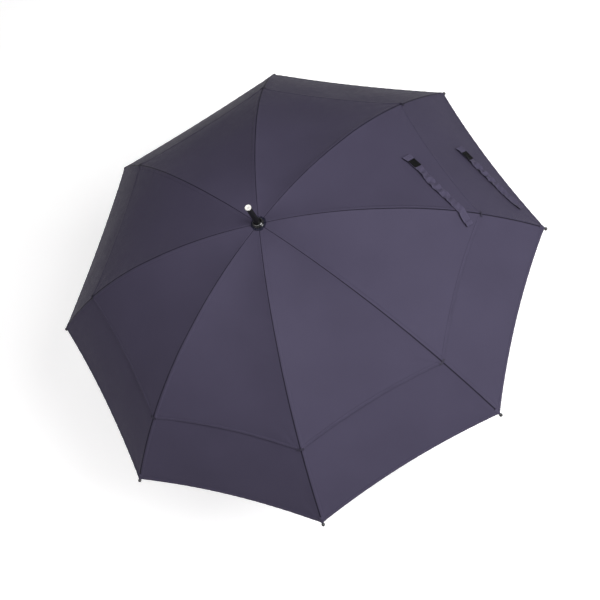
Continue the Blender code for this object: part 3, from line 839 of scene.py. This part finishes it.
def build_pocket(k):
    """The tapered pocket at a corner of the canopy, sewn round the end of its rib."""
    arcs = np.linspace(LENGTH - 0.017, LENGTH + 0.0012, 14)
    rings, arc, across = [], [], []
    for s in arcs:
        t = (s - arcs[0]) / (arcs[-1] - arcs[0])
        here, _, side, normal = rib_frame(k, s, 0.0006)
        wide, tall = 0.0062 - 0.0032 * ease(t), 0.0036 - 0.0006 * t
        ring = []
        for a in np.linspace(0, 2 * math.pi, 20, endpoint=False):
            ring.append(here + side * math.cos(a) * wide + normal * math.sin(a) * tall)
        rings.append(ring)
        arc.append([s] * 20)
        across.append([0.0068 if abs(t - 0.15) < 0.08 else 0.004] * 20)
    made = band_tube(f"corner_pocket_{k}", rings, HEM_CLOTH, {"arc": arc, "across": across})
    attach(made, f"rib_{k}")


def build_tab(k):
    """The woven tab across a rib that ties the vent's two layers, with its sewn knot."""
    n = 17
    reach = 0.0085
    lateral = np.linspace(-reach, reach, n)
    grid, normals = [], []
    for off in np.linspace(-0.0024, 0.0024, 5):
        row, facing = [], []
        for y in lateral:
            bend = y / reach
            s = VENT - 0.0040 + off + 0.0008 * math.sin(9 * bend + k)
            here, _, side, normal = rib_frame(k, s, 0.0070)
            sunk = normal * (0.0024 * bend * bend)
            row.append(here + side * y - sunk + normal * 0.0003 * math.sin(7 * bend))
            facing.append(normal)
        grid.append(row)
        normals.append(facing)
    tab = thin_sheet(f"tab_{k}", np.array(grid), np.array(normals), 0.0009, TAPE_CLOTH)
    loop = []
    here, along, side, normal = rib_frame(k, VENT - 0.0040, 0.0073)
    for t in np.linspace(0, 2 * math.pi, 25):
        round_it = along * math.cos(t) * 0.0018 + side * math.sin(t) * 0.0015
        loop.append(here + round_it - normal * 0.0001)
    knot = band_tube(f"tab_knot_{k}", swept(loop, rib_frame(k, VENT)[3], 0.0005, 8), TAPE_CLOTH)
    made = joined(f"vent_tab_{k}", [tab, knot])
    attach(made, f"rib_{k}")


# ---- Tie straps ------------------------------------------
def strap_spine(stations, t):
    last = len(stations) - 1
    k = min(int(t * last), last - 1)
    f = t * last - k
    around = [stations[min(max(k + i, 0), last)] for i in (-1, 0, 1, 2)]
    found = []
    for a, b, c, d in zip(*around):
        bend = (2 * a - 5 * b + 4 * c - d) * f * f + (3 * b - a - 3 * c + d) * f ** 3
        found.append(b + 0.5 * ((c - a) * f + bend))
    return found[0], found[1]


def strap_place(stations, upper, t, lift):
    """Centre of a strap at t, with the directions across it and off the cloth."""
    def point(at, high):
        return cloth_points(2, *strap_spine(stations, min(max(at, 0.0), 1.0)), upper, high, False)

    here = point(t, lift)
    along = unit(point(t + 0.02, lift) - point(t - 0.02, lift))
    up = point(t, lift + 0.002) - point(t, lift - 0.002)
    across = unit(np.cross(along, up))
    return here, across, unit(np.cross(across, along))


def strap_half(t, seed):
    """Half the strap's width at t: drawn in by the anchor stitches, a little uneven between."""
    half = STRAP_HALF * (1.10 - 0.10 * float(ease(t / 0.10)))
    slow, quick = math.sin(4.6 * math.pi * t + seed), math.sin(13 * math.pi * t + seed)
    half *= 1 + 0.035 * slow + 0.02 * quick
    return half * (1 - 0.13 * float(ease((t - 0.86) / 0.14)))


def strap_curl(t, u):
    """How far the strap's uphill edge stands off the canopy."""
    return 0.0028 * max(0.0, u) ** 2 * (0.4 + 0.6 * float(ease(t / 0.08)))


def on_strap(grid, values, name, thick, mats, up):
    over = np.array(grid)
    normals = grid_normals(over)
    normals *= np.sign((normals * up).sum(-1, keepdims=True))
    shaped = {key: np.array(x).reshape(over.shape[:2]) for key, x in values.items()}
    made = thin_sheet(name, over, np.broadcast_to(up, over.shape), thick, mats, shaped)
    shown = np.concatenate([normals.reshape(-1, 3), -normals.reshape(-1, 3)])
    made.data.normals_split_custom_set_from_vertices([tuple(n) for n in shown])
    return ride_gore(made, 2)


def strap_sheet(name, stations, upper, lift, seed):
    """A wrinkled strap lying on the canopy, with soft edges."""
    steps, sides = 190, 21
    over, values = [], {"arc": [], "across": []}
    length, before = 0.0, None
    turn = 2 * math.pi
    for j in range(steps + 1):
        t = j / steps
        here, across, up = strap_place(stations, upper, t, lift)
        if before is not None:
            length += float(np.linalg.norm(here - before))
        before = here
        half = strap_half(t, seed)
        free = float(ease((t - 0.16) / 0.08) * (1 - ease((t - 0.74) / 0.10)))
        sewn = 0.0009 * math.exp(-(((t - 0.805) / 0.006) ** 2))
        row = []
        for i in range(sides):
            u = -1 + 2 * i / (sides - 1)
            lean = t + 0.030 * u
            wave = 0.00100 * math.sin(turn * 7.3 * lean + seed + 1.7 * math.sin(turn * 2.1 * t))
            wave += 0.00050 * math.sin(turn * 15.0 * (t - 0.022 * u) + 2.2 * seed)
            wave += 0.00016 * math.sin(turn * 31.0 * lean + 4.0 * u + seed)
            wave *= 0.40 + 1.10 * free
            lip = 0.00045 * abs(u) ** 6 * math.sin(turn * 4.0 * t + seed + (1 if u > 0 else 3))
            edge = 0.0005 * max(0.0, abs(u) - 0.86) / 0.14
            high = 0.0004 + wave + lip - edge - sewn + strap_curl(t, u)
            row.append(here + across * half * u + up * high)
            values["arc"].append(length)
            values["across"].append(half * (1 - abs(u)))
        over.append(row)
    return on_strap(over, values, name, 0.0009, STRAP_CLOTH, up), length


def strap_pad(name, stations, upper, lift, span, share, thick, mats, keep, seed, bumps=0.0):
    """A raised pad on a strap: the hook patch, the anchor block or the folded end."""
    steps, sides = 26, 15
    grid, values = [], {"arc": [], "across": []}
    for j in range(steps + 1):
        a = j / steps
        t = span[0] + (span[1] - span[0]) * a
        here, across, up = strap_place(stations, upper, t, lift)
        reach = strap_half(t, seed) * share
        row = []
        for i in range(sides):
            u = -1 + 2 * i / (sides - 1)
            rim = min((1 - abs(u)) * 1.4, 1 - abs(2 * a - 1))
            drop = thick * 0.55 * (1 - ease(rim / 0.16))
            crown = math.sin(a * 3 * math.pi) ** 2 * (1 - u * u) + 0.5 * math.sin(9 * u + 4 * a)
            crown *= bumps
            row.append(here + across * reach * u + up * (thick - drop + crown + strap_curl(t, u)))
            values["arc"].append(reach * u)
            values["across"].append(min(1 - abs(u), 1 - abs(2 * a - 1)) * reach)
        grid.append(row)
    return on_strap(grid, values, name, thick, mats, up)


def build_straps():
    for name, stations, upper, lift, seed, patch_at in (
        ("upper", UPPER_STRAP, True, 0.0030, 0.7, (0.082, 0.168)),
        ("lower", LOWER_STRAP, False, 0.0034, 2.2, (0.105, 0.212)),
    ):
        keep = closed_share(stations[1][0] + 0.02)
        cloth = f"tie_strap_{name}_cloth"
        strap, length = strap_sheet(cloth, stations, upper, lift, seed)
        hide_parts(f"tie_strap_{name}")

        def pad(part, above, span, share, thick, mats, bumps=0.0):
            args = (stations, upper, lift + above, span, share, thick, mats, keep, seed, bumps)
            return strap_pad(f"{part}_{name}", *args)

        patch = pad("hook_patch", 0.0012, patch_at, 0.96, 0.0011, HOOK)
        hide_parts(f"strap_patch_{name}")
        span = (0.0, patch_at[0] * 0.92)
        block = pad("strap_anchor", 0.0008, span, 1.03, 0.0012, STRAP_CLOTH, 0.0006)
        end = pad("strap_end", 0.0010, (0.935, 1.0), 1.02, 0.0009, STRAP_CLOTH)


# ---- Crown and ferrule -----------------------------------
def on_frame(made, slot, *nodes):
    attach(made, "frame")
    if nodes:
        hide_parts(*nodes)
    return made


def ruffle(name, inner, outer, low, seed, teeth):
    """A pinked, crumpled ring of cloth."""
    rings, sides = 12, teeth * 6
    over = []
    for i in range(rings + 1):
        t = i / rings
        row = []
        for j in range(sides + 1):
            a = 2 * math.pi * (j % sides) / sides
            pink = abs((a * teeth / (2 * math.pi)) % 1.0 - 0.5) * 0.0016
            wobble = 0.0007 * math.sin(3 * a + seed) + 0.0005 * math.sin(7 * a + 2 * seed)
            r = inner + (outer - pink * t + wobble * t - inner) * t
            wave = math.sin(11 * a + seed) + 0.7 * math.sin(17 * a + 2.3 * seed)
            wave += 0.4 * math.sin(29 * a)
            outside = max(0.0, (r - 0.0138) / 0.006)
            z = low + 0.00016 * wave * t + 0.00075 * wave * outside - 0.0012 * outside ** 1.5
            row.append((r * math.cos(a), r * math.sin(a), z))
        over.append(row)
    over = np.array(over)
    normals = grid_normals(over)
    normals *= np.sign(normals[..., 2:3])
    return thin_sheet(name, over, normals, 0.0004, ROSETTE_CLOTH)


def build_crown():
    z = PIVOT_Z
    lower = ruffle("rosette_lower", 0.0080, 0.0198, z + 0.0046, 0.4, 38)
    upper = ruffle("rosette_upper", 0.0080, 0.0184, z + 0.0056, 2.1, 34)
    rosette = joined("rosette_ruffle", [lower, upper])
    on_frame(rosette, "fabric", "rosette")
    low = z + 0.0062
    dome = [(0.0074, low), (0.0140, low), (0.0143, low + 0.0003), (0.0143, low + 0.0011)]
    dome += [(0.0139, low + 0.0016), (0.0134, low + 0.0019)]
    for t in np.linspace(0.12, 0.94, 16):
        a = math.radians(90) * t
        dome.append((0.0088 + 0.0049 * math.cos(a), low + 0.0018 + 0.0060 * math.sin(a)))
    dome += [(0.0084, low + 0.0077), (0.0078, low + 0.0074), (0.0074, low + 0.0068)]
    on_frame(turned("crown_dome", dome, GLOSS, 96), "gloss_black", "crown_cap")
    foot, top = z + 0.0044, OVERALL - 0.0046
    rod = [(0.0, foot - 0.026), (0.0054, foot - 0.026), (0.0055, foot), (0.0072, foot)]
    rod += [(0.0071, foot + 0.012), (0.00695, foot + 0.04), (0.0068, top - 0.010)]
    rod += [(0.0067, top - 0.0004), (0.0063, top), (0.0, top)]
    on_frame(turned("ferrule_rod", softened(rod, 0.0003), SATIN, 72), "satin_black", "ferrule")
    low = top + 0.0003
    end = [(0.0, low), (0.0070, low), (0.0077, low + 0.0005), (0.0079, low + 0.0012)]
    end += [(0.0079, OVERALL - 0.0014), (0.0077, OVERALL - 0.0006), (0.0072, OVERALL - 0.0002)]
    end += [(0.0062, OVERALL - 0.00002), (0.0050, OVERALL - 0.0001), (0.0042, OVERALL - 0.0004)]
    end += [(0.0030, OVERALL - 0.0008), (0.0018, OVERALL - 0.0010), (0.0, OVERALL - 0.00105)]
    on_frame(turned("ferrule_disc", end, DISC, 72), "silver", "ferrule_end_cap")


# ---- Handle ----------------------------------------------
def build_handle():
    cap = [(0.0, 0.0), (0.0146, 0.0), (0.0157, 0.0004), (0.0163, 0.0014), (0.0165, 0.0030)]
    cap += [(0.0165, 0.0100), (0.0060, 0.0100), (0.0, 0.0100)]
    on_frame(turned("handle_cap", cap, GLOSS, 80), "gloss_black", "handle_end_cap")
    low, high = 0.0104, HANDLE
    grip = [(0.0074, low), (0.0160, low), (0.0165, low + 0.0005)]
    for j in range(1, 160):
        t = j / 160
        radius = 0.0165 - 0.0022 * math.sin(math.pi * t) ** 2 - 0.0012 * t
        band = abs((t * 9) % 1.0 - 0.5)
        groove = 0.00055 * math.exp(-((band / 0.035) ** 2)) if 0.06 < t < 0.94 else 0.0
        grip.append((radius - groove, low + (high - low) * t))
    grip += [(0.0150, high - 0.0006), (0.0146, high), (0.0074, high)]
    on_frame(turned("handle_sleeve", grip, GRIP, 80), "grip", "handle_grip")
    z = HANDLE + 0.0004
    collar = [(0.0074, z), (0.0149, z), (0.0152, z + 0.0003), (0.0152, z + 0.0036)]
    collar.append((0.0149, z + 0.0041))
    for t in np.linspace(0, 1, 9)[1:]:
        collar.append((0.0149 - 0.0057 * ease(t), z + 0.0041 + 0.0094 * t))
    collar += [(0.0089, z + 0.0140), (0.0074, z + 0.0140)]
    on_frame(turned("handle_ring", collar, COLLAR, 80), "silver", "handle_collar")


# ---- CAD nodes that keep their own shape -----------------
SOFTENED = {"top_notch": 0.0003, "runner": 0.0004, "runner_collar": 0.0004}


def finish_nodes():
    coats = {"shaft": TUBE, "stop_pin": STEEL, "top_notch": NYLON, "top_notch_wire": WIRE}
    coats.update({"runner": NYLON, "runner_wire": WIRE, "runner_collar": SATIN})
    coats.update({"upper_catch": STEEL, "lower_catch": STEEL})
    coats.update({f"stretcher_{k}": STEEL for k in range(1, RIBS + 1)})
    for name, mat in coats.items():
        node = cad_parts[name]
        node.data.materials.clear()
        node.data.materials.append(mat)
        if name != "shaft":
            bevelled(node, SOFTENED.get(name, 0.00025))


# ---- Stage -----------------------------------------------
LAMP_REACH, LAMP_SIZE = 3.4, 1.8
LAMP_TARGET = (0.0, 0.0, 0.75)
WHITE = (1.0, 1.0, 1.0)
LAMPS = (                       # name, azimuth, elevation, watts, colour
    ("key", -48, 50, 97, WHITE),
    ("front", -50, 26, 52, WHITE),
    ("left", -150, 66, 22, WHITE),
    ("top", -30, 86, 24, WHITE),
    ("back", 175, 50, 25, (1.0, 0.95, 0.96)),
)
HORIZON, OVERHEAD = 0.30, 0.00  # the studio's glow at the horizon and overhead
FALL = (0.18, 0.50)             # heights between which the glow falls off
FLOOR_REACH, FLOOR_GLOW = 60.0, 0.48
CAMERA_AT = (0.0538, -1.5865, 3.4794)
CAMERA_AHEAD = (-0.0220, 0.4655, -0.8848)
CAMERA_UP = (0.5278, 0.7570, 0.3852)
CAMERA_LENS = 74.94


def area_light(name, azimuth, elevation, power, colour):
    lamp = bpy.data.lights.new(name, "AREA")
    lamp.shape = "DISK"
    lamp.size = LAMP_SIZE
    lamp.energy = power
    lamp.color = colour
    made = bpy.data.objects.new(name, lamp)
    a, e = math.radians(azimuth), math.radians(elevation)
    reach = Vector((math.cos(e) * math.cos(a), math.cos(e) * math.sin(a), math.sin(e)))
    made.location = Vector(LAMP_TARGET) + reach * LAMP_REACH
    made.rotation_euler = (-reach).to_track_quat("-Z", "Y").to_euler()
    bpy.context.collection.objects.link(made)


def build_stage():
    mesh = bpy.data.meshes.new("floor")
    r = FLOOR_REACH
    mesh.from_pydata([(-r, -r, 0), (r, -r, 0), (r, r, 0), (-r, r, 0)], [], [(0, 1, 2, 3)])
    g = Graph("floor_paint", (0.92, 0.92, 0.92), 0.9)
    g.to(g.mix(g.noise(1.5, 2.0), (0.90, 0.90, 0.90), (0.94, 0.94, 0.94)), "Base Color")
    g.set("Emission Color", (*WHITE, 1.0))
    g.set("Emission Strength", FLOOR_GLOW)
    mesh.materials.append(g.mat)
    floor = bpy.data.objects.new("floor", mesh)
    bpy.context.collection.objects.link(floor)

    world = bpy.data.worlds.new("studio")
    world.use_nodes = True
    tree = world.node_tree
    where, split = tree.nodes.new("ShaderNodeTexCoord"), tree.nodes.new("ShaderNodeSeparateXYZ")
    fall = tree.nodes.new("ShaderNodeMapRange")
    fall.interpolation_type = "SMOOTHSTEP"
    for socket, value in zip(list(fall.inputs)[1:5], (*FALL, HORIZON, OVERHEAD)):
        socket.default_value = value
    tree.nodes["Background"].inputs[0].default_value = (*WHITE, 1.0)
    tree.links.new(where.outputs["Generated"], split.inputs[0])
    tree.links.new(split.outputs["Z"], fall.inputs[0])
    tree.links.new(fall.outputs[0], tree.nodes["Background"].inputs[1])
    bpy.context.scene.world = world
    for lamp in LAMPS:
        area_light(*lamp)


def build_camera():
    camera = bpy.data.cameras.new("camera")
    camera.sensor_width = 36.0
    camera.lens = CAMERA_LENS
    camera.clip_end = 200.0
    made = bpy.data.objects.new("camera", camera)
    ahead = Vector(CAMERA_AHEAD).normalized()
    right = ahead.cross(Vector(CAMERA_UP)).normalized()
    turn = Matrix((right, right.cross(ahead), -ahead)).transposed().to_4x4()
    made.matrix_world = Matrix.Translation(CAMERA_AT) @ turn
    bpy.context.collection.objects.link(made)
    bpy.context.scene.camera = made
    bpy.context.scene.view_settings.view_transform = "Standard"


build_stage()
build_camera()
for number in range(1, RIBS + 1):
    build_rib(number)
    build_tip(number)
    build_pocket(number)
    build_tab(number)
build_canopy()
build_straps()
build_crown()
build_handle()
finish_nodes()
